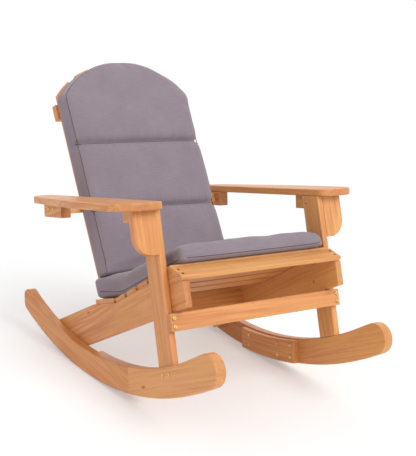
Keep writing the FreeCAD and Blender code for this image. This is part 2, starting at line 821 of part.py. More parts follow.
# Back slats with the rails that carry them
low_screws = Fasteners(sunk_screw, back_slat_thickness + board - tip_cover)
middle_screws = Fasteners(sunk_screw, back_slat_thickness + arm_rail_height - tip_cover)
top_screws = Fasteners(sunk_screw, back_slat_thickness + board - tip_cover)
inward = V(0, math.cos(rad(recline)), -math.sin(rad(recline)))
outward = inward * -1
slat_shapes = []
pitch = (back_width - back_slat_width) / (back_slat_count - 1)
for index in range(back_slat_count):
    middle = -0.5 * (back_width - back_slat_width) + index * pitch
    slat_shapes.append(back_slat(middle))
    for x in (middle - 0.25 * back_slat_width, middle + 0.25 * back_slat_width):
        low_y, low_z = back_point(low_rail_top - board_width / 2, back_slat_thickness)
        low_screws.add(V(x, low_y, low_z), outward)
        mid_y, mid_z = back_point(arm_rail_s, 0)
        middle_screws.add(V(x, mid_y, mid_z), inward)
        top_y, top_z = back_point(batten_middle, 0)
        top_screws.add(V(x, top_y, top_z), inward)
back_groups = [low_screws, middle_screws, top_screws]
for index, shape in enumerate(slat_shapes):
    keep("back_slat_%d" % (index + 1), bore(shape, back_groups))

low_rail = Part.makeBox(2 * rail_inner_x, board, board_width, V(-rail_inner_x, -board, low_rail_top - board_width))
low_rail = lay_back(ease_along(low_rail, eased, V(1, 0, 0)))
keep("lower_back_cross_rail", bore(low_rail, back_groups))
batten = Part.makeBox(2 * batten_reach, board, batten_width,
                      V(-batten_reach, back_slat_thickness, batten_middle - batten_width / 2))
keep("top_back_batten", bore(lay_back(ease_all(batten, eased)), back_groups))
rail_front_low_y = back_point((arm_rail_z - back_foot_z) / math.cos(rad(recline)), 0)[0]
behind = back_slat_thickness / math.cos(rad(recline))
rise = arm_rail_height * math.tan(rad(recline))
arm_rail_points = [
    (rail_front_low_y + behind, arm_rail_z),
    (rail_front_low_y + behind + arm_rail_depth, arm_rail_z),
    (rail_front_low_y + behind + arm_rail_depth, arm_rail_z + arm_rail_height),
    (rail_front_low_y + behind + rise, arm_rail_z + arm_rail_height),
]
arm_rail = ease_along(prism(arm_rail_points, -leg_inner_x, leg_inner_x), eased, V(1, 0, 0))
keep("arm_cross_rail", bore(arm_rail, [middle_screws, cross_rail_screws]))

# Cushion
keep("cushion_seat", cushion_seat())
keep("cushion_back", cushion_back())

# Fastener groups become nodes of their own
fastener_nodes = (
    ("leg_rocker_screws", leg_rocker_screws),
    ("splice_screws", splice_screws),
    ("apron_bolts", apron_bolts),
    ("leg_rail_screws", leg_rail_screws),
    ("rail_rocker_screws", rail_rocker_screws),
    ("leg_cleat_screws", leg_cleat_screws),
    ("cross_rail_screws", cross_rail_screws),
    ("front_arm_screws", front_arm_screws),
    ("rear_arm_screws", rear_arm_screws),
    ("seat_slat_screws", seat_slat_screws),
    ("back_slat_low_screws", low_screws),
    ("back_slat_middle_screws", middle_screws),
    ("back_slat_top_screws", top_screws),
)
for name, group in fastener_nodes:
    keep(name, Part.makeCompound(group.solids))

# The empty chair rolls back to where its centre of mass is right over the floor contact
steel_groups = ("front_arm_screws", "rear_arm_screws", "seat_slat_screws", "back_slat_low_screws",
                "back_slat_middle_screws", "back_slat_top_screws")
brass_groups = [name for name, group in fastener_nodes if name not in steel_groups]
weight = 0.0
moment = V(0, 0, 0)
for name, shape in parts.items():
    density = wood_density
    if name.startswith("cushion"):
        density = cushion_density
    if name in brass_groups:
        density = brass_density
    if name in steel_groups:
        density = steel_density
    for solid in shape.Solids:
        weight += density * solid.Volume
        moment += solid.CenterOfMass * (density * solid.Volume)
balance = moment * (1.0 / weight)
rest_tilt = math.degrees(math.atan2(balance.y, rocker_radius - balance.z))

# Its box is then centred over the origin
lows = []
highs = []
for shape in parts.values():
    shape.rotate(V(0, 0, rocker_radius), V(1, 0, 0), -rest_tilt)
    box = shape.optimalBoundingBox(False, False)
    lows.append(box.YMin)
    highs.append(box.YMax)
shift = -0.5 * (min(lows) + max(highs))
os.makedirs("parts", exist_ok=True)
for name, shape in parts.items():
    shape.translate(V(0, shift, 0))
    shape.exportStep("parts/" + name + ".step")
print("rest tilt", rest_tilt, "shift", shift, "kg", weight * 1e-9, "nodes", len(parts))
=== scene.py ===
import math
import bpy
import numpy as np
from mathutils import Matrix, Vector
from mathutils.bvhtree import BVHTree


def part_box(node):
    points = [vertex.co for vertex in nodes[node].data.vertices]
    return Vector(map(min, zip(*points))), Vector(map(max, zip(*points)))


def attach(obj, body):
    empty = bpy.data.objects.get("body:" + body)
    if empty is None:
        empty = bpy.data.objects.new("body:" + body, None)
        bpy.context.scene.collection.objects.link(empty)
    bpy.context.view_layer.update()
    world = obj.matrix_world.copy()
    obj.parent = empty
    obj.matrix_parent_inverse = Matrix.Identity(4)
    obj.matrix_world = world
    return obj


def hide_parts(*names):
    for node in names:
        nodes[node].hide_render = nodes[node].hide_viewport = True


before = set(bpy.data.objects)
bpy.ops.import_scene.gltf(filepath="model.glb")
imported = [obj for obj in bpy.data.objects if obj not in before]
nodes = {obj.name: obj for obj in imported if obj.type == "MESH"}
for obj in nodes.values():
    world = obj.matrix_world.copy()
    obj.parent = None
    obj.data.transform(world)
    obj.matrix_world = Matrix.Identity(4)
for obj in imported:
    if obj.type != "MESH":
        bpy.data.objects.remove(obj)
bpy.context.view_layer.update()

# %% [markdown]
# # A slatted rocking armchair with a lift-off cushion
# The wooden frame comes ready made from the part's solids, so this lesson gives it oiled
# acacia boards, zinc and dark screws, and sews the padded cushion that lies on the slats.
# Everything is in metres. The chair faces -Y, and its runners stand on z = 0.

# %% [markdown]
# ## Two ways of standing
# The boards are easiest to describe with level arms. The empty chair, though, rolls back on
# its round runners until it balances, and that is how it is stored. One small function takes
# level points to the stored pose: a turn about the centre of the runners' arc and a shift.

# %% From level arms to the stored pose
HUB_HEIGHT = 0.934
REST_TILT = math.radians(12.645866)
REST_SHIFT = 0.0577621


def rolled(points, angle, shift):
    """Turns points (n, 3) back about the line y = 0, z = hub height, then moves them along y."""
    p = np.asarray(points, float)
    z = p[..., 2] - HUB_HEIGHT
    y = p[..., 1] * math.cos(angle) + z * math.sin(angle) + shift
    z = HUB_HEIGHT - p[..., 1] * math.sin(angle) + z * math.cos(angle)
    return np.stack([p[..., 0], y, z], axis=-1)


def stored(points):
    return rolled(points, REST_TILT, REST_SHIFT)


print("front of the arms", stored([[0, -0.172, 0.497]]).round(3))

# %% [markdown]
# ## Small tools for shader trees
# Every finish below is a tree of nodes. These helpers add a node, wire its inputs by name
# and keep the recipes short enough to read.


# %% Node helpers
def put(tree, kind, inputs=None, **settings):
    """Adds a node. A value is set on its socket and another node's socket is linked to it."""
    node = tree.nodes.new(kind)
    for key, value in settings.items():
        setattr(node, key, value)
    for key, value in (inputs or {}).items():
        if isinstance(value, bpy.types.NodeSocket):
            tree.links.new(value, node.inputs[key])
        else:
            node.inputs[key].default_value = value
    return node


def calc(tree, operation, a, b=0.0, c=0.0):
    return put(tree, "ShaderNodeMath", {0: a, 1: b, 2: c}, operation=operation).outputs[0]


def fit(tree, value, low, high, to_low=0.0, to_high=1.0):
    """A smooth step of value from the range low..high to the range to_low..to_high."""
    sockets = {"Value": value, "From Min": low, "From Max": high, "To Min": to_low, "To Max": to_high}
    return put(tree, "ShaderNodeMapRange", sockets, interpolation_type="SMOOTHSTEP").outputs[0]


def blend_colour(tree, factor, a, b, kind="MIX"):
    node = put(tree, "ShaderNodeMix", data_type="RGBA", blend_type=kind)
    for socket, value in zip((node.inputs[0], node.inputs[6], node.inputs[7]), (factor, a, b)):
        if isinstance(value, bpy.types.NodeSocket):
            tree.links.new(value, socket)
        else:
            socket.default_value = value
    return node.outputs[2]


def new_group(name, inputs, outputs):
    """A shader node group with named sockets, given as (type, name, default)."""
    group = bpy.data.node_groups.new(name, "ShaderNodeTree")
    for kind, label, value in inputs:
        socket = group.interface.new_socket(label, in_out="INPUT", socket_type="NodeSocket" + kind)
        if value is not None:
            socket.default_value = value
    for kind, label in outputs:
        group.interface.new_socket(label, in_out="OUTPUT", socket_type="NodeSocket" + kind)
    return group, put(group, "NodeGroupInput"), put(group, "NodeGroupOutput")


def new_material(name, **constants):
    """A material with one Principled BSDF whose unlinked sockets take the constants."""
    material = bpy.data.materials.new(name)
    material.use_nodes = True
    tree = material.node_tree
    shader = tree.nodes["Principled BSDF"]
    for key, value in constants.items():
        shader.inputs[key.replace("_", " ")].default_value = value
    return material, tree, shader


def srgb(red, green, blue):
    """A colour from its 0..255 display values, as the linear values that shaders use."""
    c = np.array([red, green, blue]) / 255
    linear = np.where(c <= 0.04045, c / 12.92, ((c + 0.055) / 1.055) ** 2.4)
    return (*linear.tolist(), 1.0)


# %% [markdown]
# ## Oiled acacia
# Acacia is orange brown with darker, redder streaks that run the length of the board, fine
# open pores, now and then a small knot, and a clear change of tone from board to board.
# A picture of wood would repeat and stretch. Instead a group reads a point in space, already
# turned so that the grain runs along X, and squeezes X so that the noise becomes long streaks.

# %% The grain group
grain, g_in, g_out = new_group(
    "acacia_grain",
    [("Vector", "Vector", None), ("Float", "Board", 0.0), ("Float", "Figure", 0.5),
     ("Vector", "Knot", (9.0, 9.0, 9.0)), ("Float", "Knot Size", 0.006)],
    [("Color", "Color"), ("Float", "Roughness"), ("Float", "Height")])


def squeezed(along, across, offset):
    """The point with its length squeezed, moved to another part of the pattern per board."""
    moved = put(grain, "ShaderNodeCombineXYZ", {0: calc(grain, "MULTIPLY", g_in.outputs["Board"], offset),
                                                1: calc(grain, "MULTIPLY", g_in.outputs["Board"], 0.37)})
    scaled = put(grain, "ShaderNodeVectorMath", {0: warped, 1: (along, across, across)},
                 operation="MULTIPLY")
    return put(grain, "ShaderNodeVectorMath", {0: scaled.outputs[0], 1: moved.outputs[0]}).outputs[0]


to_knot = put(grain, "ShaderNodeVectorMath", {0: g_in.outputs["Vector"], 1: g_in.outputs["Knot"]},
              operation="SUBTRACT").outputs[0]
oval = put(grain, "ShaderNodeVectorMath", {0: to_knot, 1: (0.38, 1.0, 1.0)}, operation="MULTIPLY")
knot_reach = put(grain, "ShaderNodeVectorMath", {0: oval.outputs[0]}, operation="LENGTH").outputs["Value"]
knot_way = calc(grain, "DIVIDE", knot_reach, g_in.outputs["Knot Size"])
swerve = calc(grain, "MULTIPLY", calc(grain, "EXPONENT", calc(grain, "MULTIPLY", knot_way, -0.45)), 0.9)
pushed = put(grain, "ShaderNodeVectorMath", {0: to_knot, "Scale": swerve}, operation="SCALE")
warped = put(grain, "ShaderNodeVectorMath", {0: g_in.outputs["Vector"], 1: pushed.outputs[0]},
             operation="SUBTRACT").outputs[0]
figure = put(grain, "ShaderNodeTexNoise", {"Vector": squeezed(0.9, 16, 5.3), "Scale": 1.0, "Detail": 3.0,
                                           "Roughness": 0.55, "Distortion": 0.6}).outputs[0]
streaks = put(grain, "ShaderNodeTexNoise", {"Vector": squeezed(3.2, 170, 3.1), "Scale": 1.0,
                                            "Detail": 5.0, "Roughness": 0.62}).outputs[0]
pores = put(grain, "ShaderNodeTexNoise", {"Vector": squeezed(45, 1500, 1.7), "Scale": 1.0,
                                          "Detail": 2.0}).outputs[0]
cloud = put(grain, "ShaderNodeTexNoise", {"Vector": squeezed(5, 11, 7.9), "Scale": 1.0,
                                          "Detail": 2.0}).outputs[0]
rings = calc(grain, "SINE", calc(grain, "MULTIPLY", figure, 46.0))
band = calc(grain, "MULTIPLY_ADD", rings, 0.17, 0.40)
dark = calc(grain, "MULTIPLY_ADD", streaks, 0.9, calc(grain, "MULTIPLY", band, g_in.outputs["Figure"]))
dark = fit(grain, dark, 0.42, 1.0)
body = blend_colour(grain, dark, srgb(219, 160, 101), srgb(189, 122, 70))
body = blend_colour(grain, fit(grain, cloud, 0.35, 0.75, 0.0, 0.55), body, srgb(214, 160, 88))
hue = put(grain, "ShaderNodeTexWhiteNoise", {"W": g_in.outputs["Board"]}, noise_dimensions="1D")
board_tone = blend_colour(grain, hue.outputs[0], srgb(255, 252, 246), srgb(243, 226, 214))
body = blend_colour(grain, 1.0, body, board_tone, "MULTIPLY")
pore_mask = fit(grain, pores, 0.36, 0.28)
body = blend_colour(grain, calc(grain, "MULTIPLY", pore_mask, 0.45), body, srgb(132, 74, 40))
knot_mask = fit(grain, knot_way, 1.5, 0.5)
knot_rings = calc(grain, "SINE", calc(grain, "MULTIPLY", knot_way, 14.0))
knot_colour = blend_colour(grain, calc(grain, "MULTIPLY_ADD", knot_rings, 0.3, 0.5),
                           srgb(172, 106, 60), srgb(132, 76, 42))
body = blend_colour(grain, knot_mask, body, knot_colour)
roughness = calc(grain, "MULTIPLY_ADD", streaks, 0.16, 0.36)
ridges = calc(grain, "MULTIPLY", streaks, 0.5)
height = calc(grain, "SUBTRACT", ridges, calc(grain, "MULTIPLY", pore_mask, 0.6))
grain.links.new(body, g_out.inputs["Color"])
grain.links.new(roughness, g_out.inputs["Roughness"])
grain.links.new(height, g_out.inputs["Height"])
print("grain group with", len(grain.nodes), "nodes")

# %% [markdown]
# ## Sawn ends
# Where a board was sawn across, the open ends of the fibres drink more oil and go darker, and
# the long rounded edges look redder; only the darker ends are made here. The surface normal against
# the grain direction tells the sawn ends. It needs no painting, and it is right for every board.

# %% One material per board, its grain along the board


def board_axis(node):
    """The longest spread of a board's own corners, from their covariance."""
    xyz = np.empty(len(node.data.vertices) * 3)
    node.data.vertices.foreach_get("co", xyz)
    xyz = np.unique(xyz.reshape(-1, 3).round(4), axis=0)
    spread = np.linalg.eigh(np.cov((xyz - xyz.mean(0)).T))
    return Vector(spread[1][:, 2])


def board_material(node, number, axis, knot, knot_size, figure_share):
    """Oiled wood whose grain runs along axis, with its own stretch of the pattern."""
    material, tree, shader = new_material("acacia_" + node.name, Coat_Weight=0.06, Coat_Roughness=0.3)
    place = put(tree, "ShaderNodeTexCoord").outputs["Object"]
    turn = axis.rotation_difference(Vector((1, 0, 0)))
    turned = put(tree, "ShaderNodeMapping", {"Vector": place, "Rotation": turn.to_euler()})
    wood = put(tree, "ShaderNodeGroup", node_tree=grain)
    tree.links.new(turned.outputs[0], wood.inputs["Vector"])
    wood.inputs["Board"].default_value = number
    wood.inputs["Figure"].default_value = figure_share
    wood.inputs["Knot"].default_value = turn @ Vector(knot)
    wood.inputs["Knot Size"].default_value = knot_size
    normal = put(tree, "ShaderNodeTexCoord").outputs["Normal"]
    facing = put(tree, "ShaderNodeVectorMath", {0: normal, 1: tuple(axis)}, operation="DOT_PRODUCT")
    end = fit(tree, calc(tree, "ABSOLUTE", facing.outputs["Value"]), 0.75, 0.97, 0.0, 0.3)
    colour = blend_colour(tree, end, wood.outputs["Color"], srgb(158, 92, 50))
    tree.links.new(colour, shader.inputs["Base Color"])
    tree.links.new(wood.outputs["Roughness"], shader.inputs["Roughness"])
    bump = put(tree, "ShaderNodeBump", {"Height": wood.outputs["Height"], "Strength": 0.25,
                                        "Distance": 0.0006})
    tree.links.new(bump.outputs[0], shader.inputs["Normal"])
    return material


NO_KNOT = (9.0, 9.0, 9.0)
KNOTS = {
    "front_apron": ((-0.064, -0.158, 0.272), 0.0075),
    "lower_back_cross_rail": ((0.062, 0.228, 0.262), 0.011),
    "seat_slat_4": ((0.12, 0.0, 0.30), 0.006),
    "left_arm": ((-0.335, 0.21, 0.497), 0.007),
    "left_rocker_front": ((-0.290, -0.085, 0.030), 0.0035),
    "left_side_rail": ((-0.261, 0.215, 0.180), 0.0028),
}
METAL_WORDS = ("screws", "bolts")
boards = [n for n in sorted(nodes) if not n.startswith("cushion") and not n.endswith(METAL_WORDS)]
for number, name in enumerate(boards):
    node = nodes[name]
    axis = board_axis(node)
    if "bracket" in name or "cleat" in name:
        axis = board_axis(nodes[name.split("_")[0] + "_front_leg"])
    if "cleat" in name:
        axis = axis.cross(Vector((1, 0, 0)))
    level_knot, size = KNOTS.get(name, (NO_KNOT, 0.006))
    knot = stored([level_knot])[0] if name in KNOTS else NO_KNOT
    share = 0.35 + 0.4 * ((number * 0.618) % 1.0)
    material = board_material(node, 1.0 + number, axis.normalized(), knot, size, share)
    node.data.materials.clear()
    node.data.materials.append(material)
print(len(boards), "boards of oiled acacia")

# %% [markdown]
# ## Screws and bolts
# The big heads on the legs and runners are yellow passivated zinc, bright with a slightly
# uneven gold tone. The slat screws are dark, and sit below the surface.

# %% Two metals
tarnish, t_in, t_out = new_group(
    "metal_tarnish",
    [("Color", "Bright", None), ("Color", "Dull", None), ("Float", "Rough", 0.3)],
    [("Color", "Color"), ("Float", "Roughness"), ("Float", "Height")])
spot = put(tarnish, "ShaderNodeTexCoord").outputs["Object"]
blotch = put(tarnish, "ShaderNodeTexNoise", {"Vector": spot, "Scale": 240.0, "Detail": 3.0}).outputs[0]
brush = put(tarnish, "ShaderNodeTexNoise", {"Vector": spot, "Scale": 1800.0, "Detail": 1.0}).outputs[0]
metal_colour = blend_colour(tarnish, fit(tarnish, blotch, 0.4, 0.65), t_in.outputs["Bright"],
                            t_in.outputs["Dull"])
tarnish.links.new(metal_colour, t_out.inputs["Color"])
tarnish.links.new(calc(tarnish, "MULTIPLY_ADD", brush, 0.2, t_in.outputs["Rough"]),
                  t_out.inputs["Roughness"])
tarnish.links.new(brush, t_out.inputs["Height"])


def metal(name, bright, dull, rough):
    material, tree, shader = new_material(name, Metallic=1.0)
    finish = put(tree, "ShaderNodeGroup", node_tree=tarnish)
    finish.inputs["Bright"].default_value = bright
    finish.inputs["Dull"].default_value = dull
    finish.inputs["Rough"].default_value = rough
    tree.links.new(finish.outputs["Color"], shader.inputs["Base Color"])
    tree.links.new(finish.outputs["Roughness"], shader.inputs["Roughness"])
    bump = put(tree, "ShaderNodeBump", {"Height": finish.outputs["Height"], "Strength": 0.15,
                                        "Distance": 0.0001})
    tree.links.new(bump.outputs[0], shader.inputs["Normal"])
    return material


yellow_zinc = metal("yellow_zinc", srgb(232, 205, 138), srgb(196, 160, 92), 0.22)
dark_steel = metal("dark_steel", srgb(92, 78, 66), srgb(58, 46, 38), 0.35)
DARK = ("front_arm_screws", "rear_arm_screws", "seat_slat_screws")
for name in sorted(nodes):
    if name.endswith(METAL_WORDS):
        dark_one = name in DARK or name.startswith("back_slat")
        nodes[name].data.materials.clear()
        nodes[name].data.materials.append(dark_steel if dark_one else yellow_zinc)
print("metal on", sum(n.endswith(METAL_WORDS) for n in nodes), "groups of screws")

# %% [markdown]
# ## The cushion's shape
# It is one sewn cushion with a thick seat section and a longer back section, folded where
# they meet. Each section is a side outline carried across the chair, drawn in by a quarter
# round towards its ends. The outline is worked out first, then stuffed with a cloth
# simulation, and only then sewn down along the channels, because the remesh that the cloth
# needs would wipe out anything as narrow as a seam.


# %% A closed outline with rounded corners
def offset_outline(points, inset):
    """Moves each side of a closed outline inwards: a corner goes along the sum of its two
    side normals, divided by one plus their dot product."""
    p = np.asarray(points, float)
    side = np.roll(p, -1, axis=0) - p
    side /= np.linalg.norm(side, axis=1)[:, None]
    normal = np.stack([-side[:, 1], side[:, 0]], axis=1)
    before = np.roll(normal, 1, axis=0)
    return p + (normal + before) * (inset / (1 + (normal * before).sum(1)))[:, None]


def rounded_outline(points, radii, straight=10, arc=7):
    """Samples a closed outline whose corners are arcs: each arc starts radius / tan(half the
    corner's angle) before the corner and swings about a centre on its bisector."""
    p = np.asarray(points, float)
    r = np.asarray(radii, float)
    back = np.roll(p, 1, axis=0) - p
    ahead = np.roll(p, -1, axis=0) - p
    back /= np.linalg.norm(back, axis=1)[:, None]
    ahead /= np.linalg.norm(ahead, axis=1)[:, None]
    half = 0.5 * np.arccos(np.clip((back * ahead).sum(1), -1, 1))
    bisector = back + ahead
    bisector /= np.linalg.norm(bisector, axis=1)[:, None]
    centre = p + bisector * (r / np.sin(half))[:, None]
    start = p + back * (r / np.tan(half))[:, None]
    end = p + ahead * (r / np.tan(half))[:, None]
    swing = (math.pi - 2 * half)[:, None] * np.linspace(0, 1, arc)[None, :]
    spoke = start - centre
    cos, sin = np.cos(swing), np.sin(swing)
    arcs = centre[:, None] + np.stack([spoke[:, :1] * cos - spoke[:, 1:] * sin,
                                       spoke[:, :1] * sin + spoke[:, 1:] * cos], axis=-1)
    t = np.linspace(0, 1, straight + 2)[1:-1][None, :, None]
    lines = end[:, None] * (1 - t) + np.roll(start, -1, axis=0)[:, None] * t
    return np.concatenate([arcs, lines], axis=1).reshape(-1, 2)


def stations(half, edge, inner=36):
    """Places across the cushion and how far the outline is drawn in there: a quarter round
    of radius edge at each end, so inset = edge - sqrt(edge^2 - (edge - d)^2)."""
    d = edge * (1 - np.cos(np.linspace(0, math.pi / 2, 8)))
    inset = edge - np.sqrt(np.maximum(edge ** 2 - (edge - d) ** 2, 0))
    x = np.concatenate([-half + d, np.linspace(-half + edge, half - edge, inner)[1:-1], (half - d)[::-1]])
    return x, np.concatenate([inset, np.zeros(inner - 2), inset[::-1]])


def loft(name, x, loops):
    """A closed skin over outlines (stations, points, 2), with a flat fan at either end."""
    rows, count = loops.shape[:2]
    skin = np.concatenate([np.repeat(x[:, None], count, 1)[..., None], loops], axis=2).reshape(-1, 3)
    ends = [[x[0], *loops[0].mean(0)], [x[-1], *loops[-1].mean(0)]]
    i, j = np.meshgrid(np.arange(rows - 1), np.arange(count), indexing="ij")
    k = (j + 1) % count
    quads = np.stack([i * count + j, (i + 1) * count + j, (i + 1) * count + k, i * count + k], -1)
    rim = np.arange(count)
    nearer = np.stack([rim, np.roll(rim, -1), np.full(count, rows * count)], 1)
    far = rim + (rows - 1) * count
    further = np.stack([np.roll(far, -1), far, np.full(count, rows * count + 1)], 1)
    faces = quads.reshape(-1, 4).tolist() + nearer.tolist() + further.tolist()
    mesh = bpy.data.meshes.new(name)
    mesh.from_pydata(np.concatenate([skin, ends]).tolist(), [], faces)
    piece = bpy.data.objects.new(name, mesh)
    bpy.context.scene.collection.objects.link(piece)
    return piece


# %% [markdown]
# ## Stuffing
# Cloth with a little air pressure and no gravity swells like fibre filling, and it pulls the
# corners round in a way that a plain bevel doesn't. The movement is capped, so that the pad
# stays the size it was cut, and it is held back where the pad lies on wood.


# %% Remesh and inflate
VOXEL = 0.0052
CLOTH_FRAMES = 20


def corners_of(mesh):
    xyz = np.empty(len(mesh.vertices) * 3)
    mesh.vertices.foreach_get("co", xyz)
    return xyz.reshape(-1, 3)


def set_corners(mesh, xyz):
    mesh.vertices.foreach_set("co", np.ascontiguousarray(xyz).ravel())
    mesh.update()


def applied(piece):
    """Swaps the piece's mesh for what its modifiers make of it, and clears them."""
    shown = piece.evaluated_get(bpy.context.evaluated_depsgraph_get())
    mesh = bpy.data.meshes.new_from_object(shown)
    piece.modifiers.clear()
    piece.data = mesh


def remeshed(piece, voxel):
    piece.modifiers.new("voxels", "REMESH").voxel_size = voxel
    piece.modifiers["voxels"].mode = "VOXEL"
    applied(piece)


def stuffed(piece, share, pressure=4.0, cap=0.008):
    """Runs the cloth under pressure, and keeps of each move at most cap, times share."""
    flat = corners_of(piece.data)
    cloth = piece.modifiers.new("cloth", "CLOTH")
    cloth.settings.use_pressure = True
    cloth.settings.uniform_pressure_force = pressure
    cloth.settings.effector_weights.gravity = 0.0
    cloth.point_cache.frame_start = 1
    cloth.point_cache.frame_end = CLOTH_FRAMES
    for moment in range(1, CLOTH_FRAMES + 1):
        bpy.context.scene.frame_set(moment)
    swollen = corners_of(piece.evaluated_get(bpy.context.evaluated_depsgraph_get()).data)
    piece.modifiers.clear()
    bpy.context.scene.frame_set(1)
    move = swollen - flat
    reach = np.linalg.norm(move, axis=1)
    move *= (cap * np.tanh(reach / cap) / np.maximum(reach, 1e-9))[:, None]
    set_corners(piece.data, flat + move * share(flat)[:, None])
    print(piece.name, "swells by up to", round(float(reach.max()) * 1000, 1), "mm before the cap")


def smooth_ramp(value, low, high):
    t = np.clip((value - low) / (high - low), 0, 1)
    return t * t * (3 - 2 * t)


def subdivided(piece):
    levels = piece.modifiers.new("finer", "SUBSURF")
    levels.levels = levels.render_levels = 1
    applied(piece)


# %% [markdown]
# ## The back section
# It is 441 mm wide with an arched top, and two seams sewn through it make three sections.
# It is drawn upright here, as (x, u, s) with u from front to back and s up the back, and
# leaned onto the slats when it is finished, so that the seams run along the mesh's own rows.

# %% Back pad, upright
BACK_HALF = 0.2205
BACK_DEPTH = 0.046
BACK_END_ROUND = 0.012
BACK_LOW = -0.004
ARCH_CENTRE = 0.3604
ARCH_RADIUS = 0.2775
SEAMS = (0.180, 0.378)
CLEAR = 0.0006
CROWN = 0.004


def arch_top(x):
    return ARCH_CENTRE + np.sqrt(ARCH_RADIUS ** 2 - np.minimum(np.abs(x), BACK_HALF) ** 2)


def back_outlines(x, inset):
    """At each x a rectangle (u, s) from the slats forward and from the fold up to the arch.
    Its rear side stays on the slats while the other three are drawn in."""
    loops = []
    for place, draw in zip(x, inset):
        top = float(arch_top(place))
        crown = CROWN * (1 - (place / BACK_HALF) ** 2)
        box = [(-CLEAR, BACK_LOW), (-CLEAR, top), (-BACK_DEPTH - crown, top), (-BACK_DEPTH - crown, BACK_LOW)]
        radii = np.maximum(np.array([0.008, 0.004, 0.013, 0.010]) - draw, 0.002)
        drawn = offset_outline(box, draw)
        drawn[:2, 0] = -CLEAR
        loops.append(rounded_outline(drawn, radii, straight=26))
    return np.array(loops)


back_x, back_inset = stations(BACK_HALF, BACK_END_ROUND)
back_pad = loft("back_pad", back_x, back_outlines(back_x, back_inset))
remeshed(back_pad, VOXEL)
stuffed(back_pad, lambda p: smooth_ramp(-p[:, 1], 0.002, 0.018) * smooth_ramp(p[:, 2], -0.01, 0.03))
subdivided(back_pad)
print("back pad", len(back_pad.data.polygons), "faces")


# %% [markdown]
# ## Sewing
# A channel seam pulls the front down in a sharp valley, with small gathers running into it
# from both sides. A seam's depth falls off as exp(-distance / width), which gives that
# sharp line between two round rolls.

# %% Channels and gathers
BLUNT = 0.0008


def valley(t, depth, width):
    return depth * np.exp(-np.sqrt(t * t + BLUNT ** 2) / width)


def gathers(x, t, size=0.0009, reach=0.03):
    """Three sine waves of uneven pitch along the seam, fading with the distance t from it."""
    wave = np.sin(x * 151 + 1.3) + 0.7 * np.sin(x * 263 + 0.4) + 0.5 * np.sin(x * 421 + 2.2)
    return size * wave * np.exp(-np.abs(t) / reach) * (1 - np.exp(-np.abs(t) / 0.004))


xyz = corners_of(back_pad.data)
front = smooth_ramp(-xyz[:, 1], 0.012, 0.034)
for number, seam in enumerate(SEAMS):
    t = xyz[:, 2] - seam
    xyz[:, 1] += front * (valley(t, 0.021, 0.0085) + gathers(xyz[:, 0] + 0.11 * number, t))
    side = np.sign(xyz[:, 0]) * smooth_ramp(np.abs(xyz[:, 0]), BACK_HALF - 0.014, BACK_HALF - 0.002)
    xyz[:, 0] -= side * smooth_ramp(-xyz[:, 1], 0.0, 0.03) * valley(t, 0.006, 0.006)
lazy = np.sin(xyz[:, 0] * 19 + 0.6) * np.sin(xyz[:, 2] * 23 + 1.1)
lazy = lazy + 0.6 * np.sin(xyz[:, 0] * 41 - xyz[:, 2] * 17)
xyz[:, 1] += front * 0.0011 * lazy
xyz[:, 1] = np.minimum(xyz[:, 1], -CLEAR)
set_corners(back_pad.data, xyz)
print("back pad depth", round(float(-xyz[:, 1].min()) * 1000, 1), "mm")

# %% [markdown]
# ## The seat section
# The seat section is thicker. It follows the two slopes of the slats below, and its front
# edge rolls over to a low boxing seam. It is drawn in level chair coordinates (x, y, z).

# %% Seat pad, level
SEAT_HALF = 0.239
SEAT_END_ROUND = 0.014
SEAT_OUTLINE = ((-0.1930, 0.3504), (0.0824, 0.2370), (0.2068, 0.2156),
                (0.2270, 0.2675), (0.1044, 0.2866), (-0.1970, 0.3927))
SEAT_RADII = (0.012, 0.060, 0.010, 0.010, 0.090, 0.020)


def seat_outlines(x, inset):
    """The side outline, its two upper corners raised by a crown that fades to the ends."""
    loops = []
    for place, draw in zip(x, inset):
        outline = np.array(SEAT_OUTLINE)
        crown = CROWN * (1 - (place / SEAT_HALF) ** 2)
        outline[4:, 1] += crown - 0.0005
        radii = np.maximum(np.array(SEAT_RADII) - draw, 0.003)
        loops.append(rounded_outline(offset_outline(outline, draw), radii, straight=18))
    return np.array(loops)


def above_slats(p):
    """Height of points over the pad's underside, which has two slopes."""
    low = np.interp(p[:, 1], [-0.1930, 0.0824, 0.2068], [0.3504, 0.2370, 0.2156])
    return p[:, 2] - low


seat_x, seat_inset = stations(SEAT_HALF, SEAT_END_ROUND)
seat_pad = loft("seat_pad", seat_x, seat_outlines(seat_x, seat_inset))
remeshed(seat_pad, VOXEL)
stuffed(seat_pad, lambda p: (smooth_ramp(above_slats(p), 0.004, 0.022)
                             * smooth_ramp(0.205 - p[:, 1], 0.0, 0.05)))
subdivided(seat_pad)
xyz = corners_of(seat_pad.data)
top = smooth_ramp(above_slats(xyz), 0.02, 0.045)
near_front = np.exp(-np.abs(xyz[:, 1] + 0.197) / 0.07)
roll = np.sin(xyz[:, 0] * 31 + 2.6) + 0.6 * np.sin(xyz[:, 0] * 67 + 0.5)
lazy = np.sin(xyz[:, 0] * 17 + 1.9) * np.sin(xyz[:, 1] * 21 + 0.3)
xyz[:, 2] += top * (0.0018 * near_front * roll + 0.0015 * lazy)
front_face = smooth_ramp(-0.17 - xyz[:, 1], 0.0, 0.015)
xyz[:, 1] += front_face * valley(above_slats(xyz) - 0.0095, 0.003, 0.003)
set_corners(seat_pad.data, xyz)
print("seat pad", len(seat_pad.data.polygons), "faces, top at", round(float(xyz[:, 2].max()) * 1000, 1), "mm")
